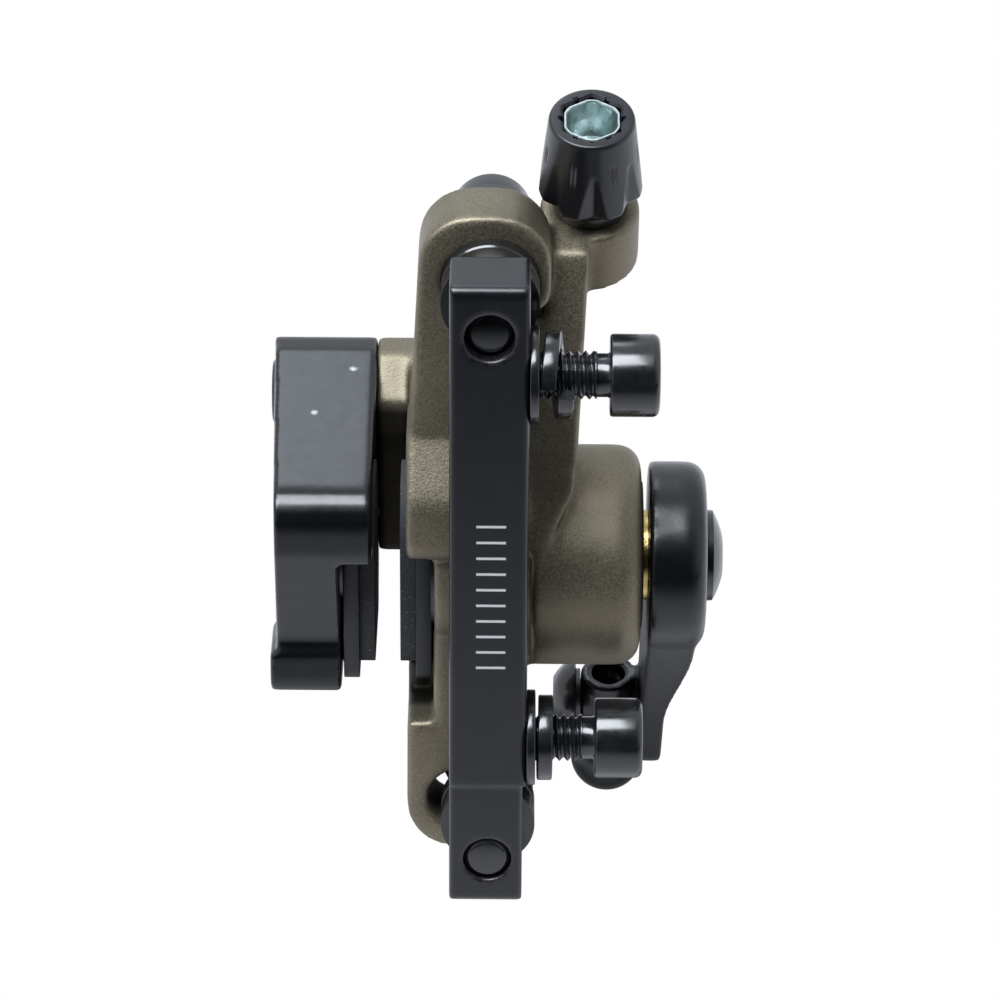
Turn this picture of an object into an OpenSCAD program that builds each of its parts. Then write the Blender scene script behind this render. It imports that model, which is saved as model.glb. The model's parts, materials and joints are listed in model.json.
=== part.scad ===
// Cable pulled disc brake caliper on its adapter bar, drawn as separate pieces.
// x runs along the frame bolts towards their heads, y away from the wheel's axle, z up the bar.
// The origin is midway between the frame bolts, in the plane where the frame's tab sits.
// Caliper pieces are drawn from the lever's axis and the bar's middle plane, then placed by at_axis().

/* [Adapter bar] */
// Distance between the two frame bolts
frame_pitch = 51; // [44:0.5:60]
// Distance between the two post bolts
post_pitch = 74; // [70:0.5:80]
// Height of the upper post bolt above the upper frame bolt
post_lead = 7; // [6.5:0.1:10]
// Bar width along the frame bolts
bar_w = 9.66; // [9:0.02:11]
// Bar thickness along the post bolts
bar_t = 9.44; // [8.5:0.02:11]
// Bar length beyond the upper post bolt
bar_top = 6.64; // [5:0.02:10]
// Bar length beyond the lower post bolt
bar_foot = 6.55; // [5:0.01:10]
// Radius of the bar's long edges
bar_edge = 0.7; // [0.2:0.1:2]
// Radius of the bar's end edges
bar_end_r = 1.2; // [0.5:0.1:2]
// How far the bar's lower foot is set back at the front
foot_step = 1.1; // [0.5:0.1:1.5]
// How far the lower foot is set in at the frame bolts' side
foot_side = 0.45; // [0.2:0.05:1]
// Top of the lower foot below the middle of the frame bolts
foot_start = 30.3; // [30:0.1:33]
// Radius of the step above the lower foot
step_r = 0.5; // [0.2:0.1:0.5]
// From the bar's middle plane to the frame tab's plane
tab_plane = 11.2; // [10.9:0.1:11.6]

/* [Bolts] */
// Thread diameter of the frame and post bolts
thread_d = 6; // [5:0.1:6.2]
// Radial play of a thread in its hole
thread_fit = 0.05; // [0.02:0.01:0.1]
// Depth of the frame bolts' thread, left off where it is screwed in
thread_deep = 0.45; // [0.3:0.05:0.6]
// Narrowing of the plain neck under a frame bolt's head
neck_in = 0.35; // [0.1:0.05:0.6]
// Length of that neck
neck_l = 1.5; // [0.5:0.1:2]
// Head diameter of the socket bolts
head_d = 10; // [9:0.1:11]
// Head height of the socket bolts
head_h = 6; // [5:0.1:7]
// Chamfer on heads and tips
head_edge = 0.6; // [0.2:0.1:1]
// Hex socket size across flats
socket_af = 5; // [4:0.1:6]
// Hex socket depth
socket_deep = 3; // [2:0.1:4]
// Frame bolt length under the head
frame_bolt_l = 16; // [14:0.5:18]
// Upper frame bolt head above the bar's face
upper_out = 9.59; // [9.4:0.01:11]
// Lower frame bolt head above the bar's face
lower_out = 8.49; // [8.2:0.01:11]
// Post bolt tip behind the bar's front face
tip_in = 1.3; // [1.2:0.1:2]

/* [Washers] */
// Flat washer diameter
washer_d = 12; // [11:0.1:13]
// Flat washer thickness
washer_t = 1.1; // [0.8:0.1:1.4]
// Radial play of a washer on its bolt
washer_play = 0.2; // [0.1:0.05:0.4]
// Lock washer outer diameter
lock_d = 10.7; // [10:0.1:12]
// Lock washer section thickness
lock_t = 1.9; // [1.4:0.1:2]
// Rise of the upper lock washer over its turn
upper_lift = 2.2; // [1:0.1:2.4]
// Rise of the lower lock washer over its turn
lower_lift = 0.3; // [0.1:0.1:1]
// Opening of the lock washer's split in degrees
lock_gap = 14; // [6:1:30]
// Ball washer set diameter
cup_d = 12; // [11:0.1:13]
// Height of one ball washer set
stack_t = 6.06; // [5.6:0.02:7]
// Height of the hollow half at its rim
cup_h = 3.4; // [3:0.1:3.8]
// Radius of the ball seat
seat_r = 8; // [7:0.1:10]
// Ball seat play
seat_play = 0.05; // [0.02:0.01:0.1]

/* [Caliper place] */
// Lever axis behind the bar's back face
axis_back = 13.06; // [13:0.02:15]
// Lever axis below the middle of the frame bolts
axis_drop = 9.1; // [7:0.1:11]
// Rotor plane from the bar's middle plane
rotor_offset = 12.9; // [12.6:0.1:13.2]
// Rotor radius
rotor_r = 80; // [70:1:102]
// How far the rotor's rim reaches behind the lever axis
rotor_reach = 14; // [12:0.5:14.5]
// From the rotor plane to the inner half
slot_left = 1.8; // [1.7:0.1:2.2]
// From the rotor plane to the outer half
slot_right = 2.5; // [2.4:0.1:2.8]

/* [Pads] */
// Gap between the linings at rest
pad_gap = 3.2; // [3:0.1:3.6]
// Lining thickness
lining_t = 2; // [1.5:0.1:2.2]
// Backing plate thickness
plate_t = 2; // [1.5:0.1:2.2]
// Lining reach in front of the axis
lining_front = 3.5; // [2:0.1:4]
// Lining reach behind the axis
lining_back = 12.5; // [10:0.1:12.8]
// Lining reach above the axis
lining_up = 10; // [8:0.1:12.5]
// Lining reach below the axis
lining_down = 14.7; // [10:0.05:15]
// How far the plate stands out round the lining
plate_rim = 0.7; // [0.3:0.1:1]
// Extra plate length at the lower end
plate_tail = 1.4; // [0.5:0.1:1.5]
// Radius of the pad's upper corners
pad_corner = 7.8; // [4:0.1:7.9]
// Radius of the pad's lower corners
pad_edge = 2; // [0.5:0.1:3]
// Play round a pad in its pocket
pad_play = 0.3; // [0.2:0.05:0.5]

/* [Housing halves] */
// Nose in front of the axis
nose = 9.3; // [9.1:0.1:10]
// Height of the nose above the axis
nose_top = 11.8; // [10:0.1:13]
// Radius of the inner half's upper front edge
brow_r = 5; // [3:0.1:5]
// Radius of the foot's lower edge
nose_r = 2; // [1:0.1:3]
// Outer half's nose in front of the axis
nose_out = 11.7; // [9.1:0.1:12.3]
// Where the outer half's nose starts, above the axis
nose_start = 20.5; // [18:0.5:23]
// Where it reaches its full height, above the axis
nose_bend = 12.5; // [11:0.5:13]
// Radius of that bend
nose_round = 7; // [4:0.5:12]
// Radius of the outer half's nose at its underside
nose_under = 3; // [1:0.1:4]
// Underside of the outer half's nose above the axis
nose_low = 4.4; // [2:0.1:5]
// Back of the halves behind the axis
back = 26; // [25:0.1:28]
// Height of the back above the axis
crown = 18.6; // [18:0.1:20]
// Flat length of the top at the back
crown_flat = 5.5; // [3:0.1:8]
// Lower end of the back below the axis
back_low = 9.4; // [9:0.1:12]
// Radius of the back's corners
back_r = 2.5; // [1:0.1:4]
// Where the inner half's front starts to lean back, above the axis
chin = 4.6; // [3:0.1:6]
// Inner half's front above its foot: distance in front of the axis
heel = 4; // [3:0.1:6]
// Inner half's foot: distance in front of the axis
foot = 5; // [4:0.1:7]
// How far the foot's lower edge stands out in front of its top
foot_tip = 0.6; // [0:0.1:1]
// Height of the slope above the foot
foot_slope = 1.5; // [0.5:0.1:3]
// Radius where that slope starts
heel_r = 2; // [1:0.1:3]
// Top of the foot below the axis
foot_top = 12.2; // [11:0.1:13]
// Bottom of the foot below the axis
foot_low = 18.1; // [17:0.1:20]
// Tail of the halves behind the axis
tail = 17.5; // [15:0.1:20]
// Tail of the inner half below the axis
tail_low = 18.3; // [17:0.1:20]
// Thickness of the inner half at the axis
inner_t = 12.5; // [12.4:0.1:14]
// Lean of the inner half's outer face in degrees
inner_lean = 2; // [0:0.5:3]
// How far the foot stands out sideways
foot_flare = 0.7; // [0.2:0.1:1.5]
// Width of the foot
foot_w = 8.3; // [6:0.1:9]
// Top of the inner half's pad notch above the axis
notch_top = 2.9; // [1:0.1:4]
// End of the inner half's pad notch behind the axis
notch_back = 3.5; // [2:0.1:6]
// Diameter of the housing bolts
housing_d = 5; // [4:0.1:6]
// Head diameter of the housing bolts
housing_head_d = 9; // [8:0.1:10]
// Head height of the housing bolts
housing_head_h = 3; // [2.5:0.1:4]
// How far these heads stand out of the inner half
housing_out = 0.3; // [0.3:0.05:1.5]
// Housing bolts behind the axis
housing_back = 20.2; // [19.8:0.1:21]
// Upper housing bolt above the axis
housing_up = 12.6; // [11:0.1:13]
// Lower housing bolt below the axis
housing_down = 3.4; // [2:0.1:4]
// How deep these bolts screw into the body
housing_grip = 7; // [6:0.5:9]
// Gap between the rotor's rim and the bridge
bridge_gap = 2; // [1:0.1:3]
// Drop of the bridge's sloped front face
bridge_drop = 5; // [3:0.1:6]
// Height of the lip below that face
bridge_lip = 5; // [3:0.1:7]
// How far the wall under the lip lies behind the rotor's gap
lip_in = 0.9; // [0.3:0.1:0.9]

/* [Body casting] */
// Thickness of the ears
ear_t = 9.5; // [8:0.1:11]
// Spine thickness behind the ear plane
spine_t = 11.5; // [10:0.1:13]
// Upper ear: left of the bar's middle
ear_up_left = 8.5; // [8:0.1:10]
// Upper ear: right of the bar's middle
ear_up_right = 7.4; // [6.8:0.1:8]
// Upper ear: above its post bolt
ear_up_top = 8.6; // [8:0.1:10]
// Upper ear: right lobe below its post bolt
ear_up_low = 4.2; // [3:0.1:6]
// Lower ear: left of the bar's middle
ear_low_left = 10.5; // [10:0.1:10.6]
// Lower ear: right of the bar's middle
ear_low_right = 5.8; // [5.5:0.1:7]
// Lower ear: below its post bolt
ear_low_end = 7.6; // [6.5:0.1:9]
// Corner radius of the ears
ear_r = 6.4; // [4:0.1:7]
// Small corner radius of the ears
ear_small_r = 2.5; // [1:0.1:4]
// Upper ear slot's middle from the bar's middle
slot_up_x = 0; // [-0.5:0.1:0.5]
// Lower ear slot's middle from the bar's middle
slot_low_x = -1.95; // [-2.2:0.05:-1]
// Width of the ear slots
ear_slot_w = 8; // [7:0.1:9]
// Length of the ear slots
ear_slot_l = 11.5; // [10:0.1:12]
// Right side of the outer half from the bar's middle
shell_right = 4.6; // [3:0.1:6]
// Tail of the outer half below the axis
shell_low = 24.3; // [24:0.1:26]
// Floor left under the pad channel
channel_floor = 3.2; // [1:0.1:4]
// End of the pad channel behind the axis
channel_back = 2; // [0:0.1:4]
// Drum radius
drum_r = 14; // [13.5:0.1:15]
// Gap between the bar's side and the drum
drum_gap = 0.37; // [0.3:0.01:1]
// Drum end from the bar's middle plane
drum_end = 19.15; // [19:0.05:20]
// Drum edge radius
drum_edge = 3; // [1:0.1:4]
// Wall round the piston bore behind the bar
bore_wall = 1.8; // [1.5:0.1:2]
// Width of the web at its top
web_top_x = 12.1; // [11:0.1:13]
// Width of the web at the drum
web_low_x = 10.7; // [10:0.1:11.5]
// Height where the web's edge turns inwards, above the axis
web_turn = 14.5; // [12:0.1:18]
// Radius of that turn
web_turn_r = 5; // [2:0.5:8]
// Lower end of the web above the axis
web_low = 3.2; // [1:0.1:5]
// Lowest web behind the bar, above the axis
web_clear = 7.5; // [7:0.1:10]
// Gap between the web and the ball washers
stack_gap = 0.5; // [0.3:0.1:1]
// Thickness of the web
web_t = 10; // [8:0.1:11]
// Flare between web and drum
web_flare = 3.5; // [2:0.1:5]

/* [Cable boss and adjuster] */
// Boss from the bar's middle plane
boss_x = 12.15; // [12:0.05:13]
// Boss top behind the axis
boss_y = 6.5; // [6:0.1:8]
// Boss top above the upper post bolt
boss_rise = 4.3; // [3.5:0.1:5.5]
// Lean of the boss towards the wheel in degrees
boss_tilt = 20; // [16:0.5:22]
// Boss radius
boss_r = 6.2; // [5.6:0.1:6.4]
// Boss height
boss_h = 9.2; // [7:0.1:10]
// Web's top front edge ahead of the boss centre
boss_lip = 8.5; // [7.5:0.1:9]
// Knob length
knob_l = 14.6; // [12:0.1:16]
// Knob radius at the skirt
knob_r = 6.4; // [6:0.1:6.6]
// Knob radius at the top
knob_top_r = 5.25; // [5:0.05:5.6]
// Knob radius at the foot
knob_foot_r = 3.6; // [3.5:0.1:4]
// Height of the knob's skirt
knob_skirt = 2.2; // [1.5:0.1:3]
// Number of flutes
knob_flutes = 7; // [5:1:10]
// Flute cutter radius
flute_r = 1.9; // [1:0.1:2.5]
// Flute cutter distance from the knob's axis
flute_at = 7.1; // [6.8:0.1:8]
// Flute height
flute_l = 9.5; // [6:0.1:12]
// Gap between knob and boss
knob_gap = 0.1; // [0.05:0.05:0.3]
// Barrel size across flats
barrel_af = 6.9; // [6.6:0.1:7.2]
// Play between barrel and knob
barrel_play = 0.06; // [0.03:0.01:0.1]
// Barrel top below the knob's top
barrel_in = 0.3; // [0:0.1:1]
// Thread radius of the barrel
barrel_r = 2.6; // [2.4:0.1:2.8]
// Thread length of the barrel in the boss
barrel_grip = 5.5; // [4:0.1:6.5]
// Radius of the cable housing seat
seat_bore_r = 2.6; // [2.5:0.05:2.75]
// Depth of the cable housing seat
seat_bore_l = 7; // [5:0.1:9]
// Radius of a cable hole
cable_r = 1.1; // [0.8:0.05:1.3]

/* [Drive inside the drum] */
// Piston radius
piston_r = 8.75; // [8:0.05:9]
// Running play of round moving pieces
run_play = 0.05; // [0.03:0.01:0.08]
// Piston length
piston_l = 9.9; // [9:0.1:10.2]
// Ball radius
ball_r = 2.5; // [2:0.05:2.6]
// Radius of the ball circle
ball_at = 5.4; // [5:0.1:5.8]
// Number of balls
ball_count = 3; // [3:1:4]
// Gap between piston and spindle flange
ball_gap = 3; // [2.6:0.1:3.4]
// Cage thickness
cage_t = 1.8; // [1.2:0.1:2]
// Cage outer radius
cage_r = 8.3; // [8:0.05:8.5]
// Cage inner radius
cage_in_r = 2; // [1.5:0.1:2.2]
// Spindle flange thickness
flange_t = 4; // [3:0.1:4.4]
// Thrust washer thickness
thrust_t = 1; // [0.8:0.1:1.2]
// Spindle radius
spindle_r = 4; // [3.6:0.05:4.1]
// Return spring's mean radius
spring_r = 5.9; // [5.6:0.05:6.1]
// Return spring's wire radius
spring_wire = 0.6; // [0.4:0.05:0.7]
// Curls of the return spring
spring_turns = 2; // [1.5:0.25:2.25]
// Radius of the spring chamber
chamber_r = 7.4; // [7:0.1:7.8]
// Drum end wall thickness
wall_t = 3.6; // [3:0.1:4]
// Bush outer radius
bush_r = 5.2; // [5:0.05:5.4]
// Bush collar radius
collar_r = 5.75; // [5.6:0.05:6]
// Bush collar thickness
collar_t = 0.85; // [0.6:0.05:0.85]
// Dust seal radius
seal_r = 9.3; // [8:0.1:10]
// Dust seal thickness
seal_t = 0.4; // [0.3:0.05:0.6]

/* [Inner pad adjuster] */
// Adjuster radius
adjuster_r = 5.8; // [5:0.1:6]
// Adjuster socket size across flats
adjuster_af = 5; // [4:0.1:6]
// Adjuster socket depth
adjuster_deep = 4; // [3:0.1:5]
// Adjuster end below the housing's face
adjuster_in = 0.6; // [0.4:0.1:1]
// Thickness of the foot behind the pad
foot_disc_t = 1.9; // [1.5:0.1:2.5]
// Magnet radius
magnet_r = 3; // [2:0.1:4]
// Magnet thickness
magnet_t = 1.5; // [1:0.1:1.8]

/* [Lever] */
// Gap between the drum's end and the lever
lever_gap = 0.95; // [0.95:0.05:1.3]
// Hub radius
hub_r = 11.9; // [11.5:0.05:13]
// Hub thickness
hub_t = 7.25; // [6.5:0.05:8]
// Rounding of the hub's outer edge
hub_edge = 2.4; // [1:0.1:3]
// Arm length from the axis to the end's centre
arm_l = 41; // [38:0.1:44]
// Arm angle back from straight down in degrees
arm_angle = 30.3; // [24:0.1:34]
// Radius of the arm's end
arm_end_r = 7; // [6:0.1:8]
// Thickness of the arm's end
arm_t = 3; // [3:0.1:5]
// How far the arm's sides start inside the hub's edge
arm_set = 0.5; // [0.3:0.1:1]
// How far the arm's outer face lies below the hub's
arm_in = 1.1; // [0.5:0.1:2]
// Where the arm starts to thin
thin_from = 6; // [4:0.5:10]
// Where the arm has its end thickness
thin_to = 31.5; // [22:0.5:32]
// Lever bolt head radius
cap_r = 5.85; // [5.2:0.05:6.2]
// Lever bolt head height
cap_h = 2.6; // [1.5:0.1:3]
// Lever bolt thread radius
cap_thread_r = 2.2; // [1.8:0.1:2.4]
// Lever bolt length under its head
cap_l = 9; // [7:0.5:10]
// Lug from the bar's middle plane
lug_x = 15.95; // [15.8:0.05:16.6]
// Lug's upper face in front of the arm end's centre
lug_lead = 0.2; // [-1:0.1:1]
// Lug's upper face above the arm end's centre
lug_rise = 6; // [5:0.1:7]
// Lug's lean towards the wheel in degrees
lug_tilt = 12; // [8:0.5:16]
// Lug radius
lug_r = 3.75; // [3.4:0.05:4]
// Lug length
lug_l = 10; // [8:0.1:12]
// Funnel radius in the lug's face
lug_bore_r = 2.1; // [1.6:0.1:2.4]
// Funnel depth
lug_bore_l = 2; // [1:0.1:2]
// Bulb radius
bulb_r = 4.9; // [4.4:0.05:5.2]
// Bulb below the lug's face
bulb_drop = 15.4; // [12:0.1:16]
// Thickness of the web between lug and arm
lug_web_t = 5; // [3:0.1:6]
// Pinch bolt below the lug's face
pinch_drop = 4.6; // [4.5:0.1:6]
// Pinch bolt thread radius
pinch_r = 2.4; // [2:0.1:2.4]
// Pinch bolt head radius
pinch_head_r = 5.2; // [4.5:0.1:5.5]
// Pinch bolt head height
pinch_head_h = 3.6; // [2:0.1:4]
// Pinch washer thickness
pinch_washer_t = 0.6; // [0.4:0.1:1]
// How far the pinch bolt reaches into the lug
pinch_grip = 2.5; // [2:0.1:2.6]

/* [Hidden] */
$fn = 64;
eps = 0.01;
far = 200;
corner_steps = 5;
curve_steps = 10;
lock_steps = 36;
spring_rings = 8;
spring_sides = 6;

thread_r = thread_d / 2;
head_r = head_d / 2;
washer_hole_r = thread_r + washer_play;
core_r = thread_r - thread_deep;
lock_start = washer_t + 2 * run_play;
seat_centre = cup_h + sqrt(seat_r * seat_r - pow(cup_d / 2 - head_edge, 2));

bar_x = -tab_plane;
bar_face = bar_x + bar_w / 2;
frame_z = [frame_pitch / 2, -frame_pitch / 2];
post_z = [frame_z[0] + post_lead, frame_z[0] + post_lead - post_pitch];
bar_low = post_z[1] - bar_foot;
bar_high = post_z[0] + bar_top;
frame_out = [upper_out, lower_out];
lock_lift = [upper_lift, lower_lift];

axis_y = bar_t / 2 + axis_back;
axis_z = -axis_drop;
ear_front = stack_t - axis_back;
ear_back = ear_front + ear_t;
post_up = post_z[0] - axis_z;
post_down = post_z[1] - axis_z;
post_bolt_l = bar_t - tip_in + 2 * stack_t + ear_t;

slot_in = -rotor_offset - slot_left;
slot_out = -rotor_offset + slot_right;
outer_face = -rotor_offset + pad_gap / 2;
outer_plate = outer_face + lining_t;
piston_x = outer_plate + plate_t;
pocket_out = piston_x + pad_play;
inner_face = -rotor_offset - pad_gap / 2;
inner_plate = inner_face - lining_t;
foot_x = inner_plate - plate_t;
pocket_in = foot_x - pad_play;
inner_x = slot_in - inner_t;
rotor_y = rotor_reach - rotor_r;
bridge_r = rotor_r + bridge_gap;
bridge_in = rotor_reach + bridge_gap;

bore_r = piston_r + run_play;
piston_end = piston_x + piston_l;
ball_x = piston_end + ball_gap / 2;
flange_x = piston_end + ball_gap;
flange_end = flange_x + flange_t;
thrust_x = flange_end + run_play;
ledge_x = thrust_x + thrust_t + run_play;
wall_x = drum_end - wall_t;
drum_x = bar_w / 2 + drum_gap;
lever_x = drum_end + lever_gap;
hub_end = lever_x + hub_t;
cap_hole_r = cap_thread_r + thread_fit;

boss_z = post_up + boss_rise;
boss_top = [boss_x, boss_y, boss_z];
web_lean = boss_lip * cos(boss_tilt);
web_front_y = boss_y - web_lean;
web_front_z = boss_z - boss_lip * sin(boss_tilt);
web_reach = norm([web_front_y, web_front_z]);
web_angle = asin(drum_r / web_reach) - atan2(-web_front_y, web_front_z);
web_run = sqrt(web_reach * web_reach - drum_r * drum_r);
web_touch_y = web_front_y - web_run * sin(web_angle);
web_touch_z = web_front_z - web_run * cos(web_angle);

web_left = cup_d / 2 + stack_gap;
web_step = post_up - cup_d / 2 - stack_gap;

foot_disc_r = adjuster_r - 2 * run_play;
adjuster_x = foot_x - foot_disc_t;
barrel_hex_r = barrel_af / 2 / cos(30);
knob_hex_r = barrel_hex_r + barrel_play / cos(30);
barrel_step = knob_gap + knob_skirt;
barrel_top = knob_gap + knob_l - barrel_in;
spring_x = ledge_x + spring_wire + run_play;
spring_pitch = (wall_x - run_play - spring_wire - spring_x) / spring_turns;
housing_seat = inner_x - housing_back * tan(inner_lean) - housing_out + housing_head_h;
lug_y = arm_l * sin(arm_angle) - lug_lead;
lug_z = arm_l * cos(arm_angle) - lug_rise;

function unit(v) = v / norm(v);

// One corner b between a and c, each [u, v, r], as points on an arc of radius b[2].
function corner(a, b, c) =
    let (p = [b[0], b[1]],
         d = unit([a[0], a[1]] - p),
         e = unit([c[0], c[1]] - p),
         half = acos(d * e) / 2,
         centre = p + unit(d + e) * b[2] / sin(half),
         s = p + d * b[2] / tan(half) - centre,
         f = p + e * b[2] / tan(half) - centre,
         sweep = 180 - 2 * half)
    b[2] == 0 ? [p] :
    [for (i = [0:corner_steps])
        let (k = i / corner_steps)
        centre + (s * sin((1 - k) * sweep) + f * sin(k * sweep)) / sin(sweep)];

// A closed outline with every corner [u, v, r] rounded.
function rounded(p) =
    [for (i = [0:len(p) - 1])
        each corner(p[(i + len(p) - 1) % len(p)], p[i], p[(i + 1) % len(p)])];

function box_outline(u0, u1, v0, v1, r) =
    rounded([[u0, v0, r], [u1, v0, r], [u1, v1, r], [u0, v1, r]]);

// Draw (y, z) outlines from x0 to x1, (x, z) outlines from y0 to y1, and rods and lathes along x.
module along_x(x0, x1) {
    translate([x0, 0, 0]) rotate([90, 0, 90]) linear_extrude(x1 - x0) children();
}
module along_y(y0, y1) {
    translate([0, y1, 0]) rotate([90, 0, 0]) linear_extrude(y1 - y0) children();
}
module rod_x(x0, x1, r) {
    translate([x0, 0, 0]) rotate([0, 90, 0]) cylinder(h = x1 - x0, r = r);
}
module rod_y(y0, y1, r) {
    translate([0, y1, 0]) rotate([90, 0, 0]) cylinder(h = y1 - y0, r = r);
}
module hex_x(x0, x1, r) {
    translate([x0, 0, 0]) rotate([0, 90, 0]) cylinder(h = x1 - x0, r = r, $fn = 6);
}
module lathe_x(points) {
    rotate([0, 90, 0]) rotate_extrude() polygon(points);
}
module tube_x(x0, x1, r0, r1) {
    difference() {
        rod_x(x0, x1, r1);
        rod_x(x0 - 1, x1 + 1, r0);
    }
}
module block(x0, x1, y0, y1, z0, z1) {
    translate([x0, y0, z0]) cube([x1 - x0, y1 - y0, z1 - z0]);
}
module at_axis() {
    translate([bar_x, axis_y, axis_z]) children();
}
module at_boss() {
    at_axis() translate(boss_top) rotate([boss_tilt, 0, 0]) children();
}
module at_lug() {
    at_axis() translate([lug_x, lug_y, -lug_z]) rotate([lug_tilt, 0, 0]) children();
}
module at_arm() {
    at_axis() rotate([arm_angle, 0, 0]) children();
}
module at_balls() {
    for (i = [0:ball_count - 1])
        at_axis() rotate([i * 360 / ball_count, 0, 0]) translate([ball_x, ball_at, 0]) children();
}
module at_housing_bolts() {
    for (z = [housing_up, -housing_down])
        at_axis() translate([0, housing_back, z]) children();
}

// Adapter bar and its hardware.
module bar_length(z0, z1, front, right) {
    translate([bar_x, 0, z0]) linear_extrude(z1 - z0)
        polygon(box_outline(-bar_w / 2, right, front, bar_t / 2, bar_edge));
}
module adapter_bracket() {
    front = -bar_t / 2;
    color("#2a2c30") difference() {
        intersection() {
            union() {
                bar_length(-foot_start, bar_high, front, bar_w / 2);
                bar_length(bar_low, eps - foot_start, front + foot_step, bar_w / 2 - foot_side);
            }
            translate([bar_x, 0, 0]) along_x(-bar_w, bar_w)
                polygon(rounded([[front, bar_high, bar_end_r], [front, -foot_start, step_r],
                    [front + foot_step, -foot_start - eps, 0], [front + foot_step, bar_low, bar_end_r],
                    [bar_t / 2, bar_low, bar_edge], [bar_t / 2, bar_high, bar_edge]]));
        }
        for (z = frame_z) translate([bar_x, 0, z]) rod_x(-bar_w, bar_w, core_r + thread_fit);
        for (z = post_z) translate([bar_x, 0, z]) rod_y(-bar_t, bar_t, thread_r);
    }
}

// A socket bolt along x: head underside at out, free thread from free on.
module frame_bolt(out, free) {
    tip = out - frame_bolt_l;
    difference() {
        lathe_x([[0, tip], [core_r - head_edge, tip], [core_r, tip + head_edge], [core_r, free],
            [thread_r, free], [thread_r, out - neck_l], [thread_r - neck_in, out - neck_l],
            [thread_r - neck_in, out], [head_r, out], [head_r, out + head_h - head_edge],
            [head_r - head_edge, out + head_h], [0, out + head_h]]);
        hex_x(out + head_h - socket_deep, out + head_h + 1, socket_af / 2 / cos(30));
    }
}
module frame_bolts() {
    color("#26282b") for (i = [0, 1])
        translate([bar_face, 0, frame_z[i]])
            frame_bolt(frame_out[i], lock_start + lock_t + lock_lift[i] + washer_play);
}
module frame_washers() {
    color("#4a4c50") for (z = frame_z)
        translate([bar_face, 0, z]) tube_x(0, washer_t, washer_hole_r, washer_d / 2);
}

// One turn of a flat section round x that rises by lift, with its split towards -y.
module split_ring(lift) {
    r0 = washer_hole_r;
    r1 = lock_d / 2;
    points = [for (i = [0:lock_steps])
        let (a = 180 - lock_gap / 2 - i * (360 - lock_gap) / lock_steps, h = lift * i / lock_steps)
        each [for (q = [[h, r0], [h, r1], [h + lock_t, r1], [h + lock_t, r0]])
            [q[0], q[1] * cos(a), q[1] * sin(a)]]];
    last = 4 * lock_steps;
    sides = [for (i = [0:lock_steps - 1]) each [for (k = [0:3])
        [4 * i + k, 4 * i + 4 + k, 4 * i + 4 + (k + 1) % 4, 4 * i + (k + 1) % 4]]];
    ends = [[0, 1, 2, 3], [last + 3, last + 2, last + 1, last]];
    polyhedron(points, concat(sides, ends));
}
module frame_lock_washers() {
    color("#2e3034") for (i = [0, 1])
        translate([bar_face + lock_start, 0, frame_z[i]]) rotate([180 * i, 0, 0])
            split_ring(lock_lift[i]);
}

module post_bolts() {
    hold_r = thread_r - thread_fit;
    tip = tip_in - bar_t / 2;
    under = tip + post_bolt_l;
    color("#34363a") for (z = post_z) translate([bar_x, 0, z]) difference() {
        rotate([-90, 0, 0]) rotate_extrude()
            polygon([[0, tip], [hold_r - head_edge, tip], [hold_r, tip + head_edge],
                [hold_r, under], [head_r, under], [head_r, under + head_h - head_edge],
                [head_r - head_edge, under + head_h], [0, under + head_h]]);
        translate([0, under + head_h - socket_deep, 0]) rotate([-90, 0, 0])
            cylinder(h = socket_deep + 1, r = socket_af / 2 / cos(30), $fn = 6);
    }
}

// Both ball washer sets of each post bolt: the hollow halves lie on the bar and under the head.
module at_stacks() {
    for (z = post_z) translate([bar_x, bar_t / 2, z]) {
        children();
        translate([0, 2 * stack_t + ear_t, 0]) mirror([0, 1, 0]) children();
    }
}
module cup_washers() {
    color("#3a3c40") at_stacks() difference() {
        rod_y(0, cup_h, cup_d / 2);
        rod_y(-1, cup_h + 1, washer_hole_r);
        translate([0, seat_centre, 0]) sphere(seat_r + seat_play);
    }
}
module ball_washers() {
    color("#46484c") at_stacks() difference() {
        intersection() {
            rod_y(0, stack_t, cup_d / 2);
            translate([0, seat_centre, 0]) sphere(seat_r);
        }
        rod_y(-1, stack_t + 1, washer_hole_r);
    }
}

// Cast body.
module half_top_outline(front_low) {
    polygon(rounded([[ear_front, nose_top, 0], [ear_front, front_low, 0], [back, front_low, 0],
        [back, crown, back_r], [back - crown_flat, crown - eps, 0]]));
}
module nose_outline() {
    polygon(rounded([[ear_front, nose_start, 0], [-nose_out, nose_bend, nose_round],
        [-nose_out, nose_low, nose_under], [ear_front + ear_t, nose_low, 0],
        [ear_front + ear_t, nose_start, 0]]));
}
module shell() {
    along_x(slot_out, shell_right) {
        half_top_outline(nose_low);
        nose_outline();
        polygon(rounded([[ear_front, nose_low + eps, 0], [ear_front, -shell_low, 0],
            [tail, -shell_low, back_r], [back, -back_low, back_r], [back, nose_low + eps, 0]]));
    }
    rod_x(slot_out + eps, drum_x + eps, bore_r + bore_wall);
}
module ear_outlines() {
    polygon(rounded([[-ear_up_left, post_up + ear_up_top, ear_r],
        [ear_up_right, post_up + ear_up_top, ear_r],
        [ear_up_right, post_up - ear_up_low, ear_small_r],
        [shell_right, post_up - ear_up_low, 0],
        [shell_right, post_down + ear_low_end, 0],
        [ear_low_right, post_down + ear_low_end, ear_small_r],
        [ear_low_right, post_down - ear_low_end, ear_r],
        [-ear_low_left, post_down - ear_low_end, ear_r],
        [slot_out, -shell_low, 0],
        [slot_out, nose_top, 0]]));
}
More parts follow.
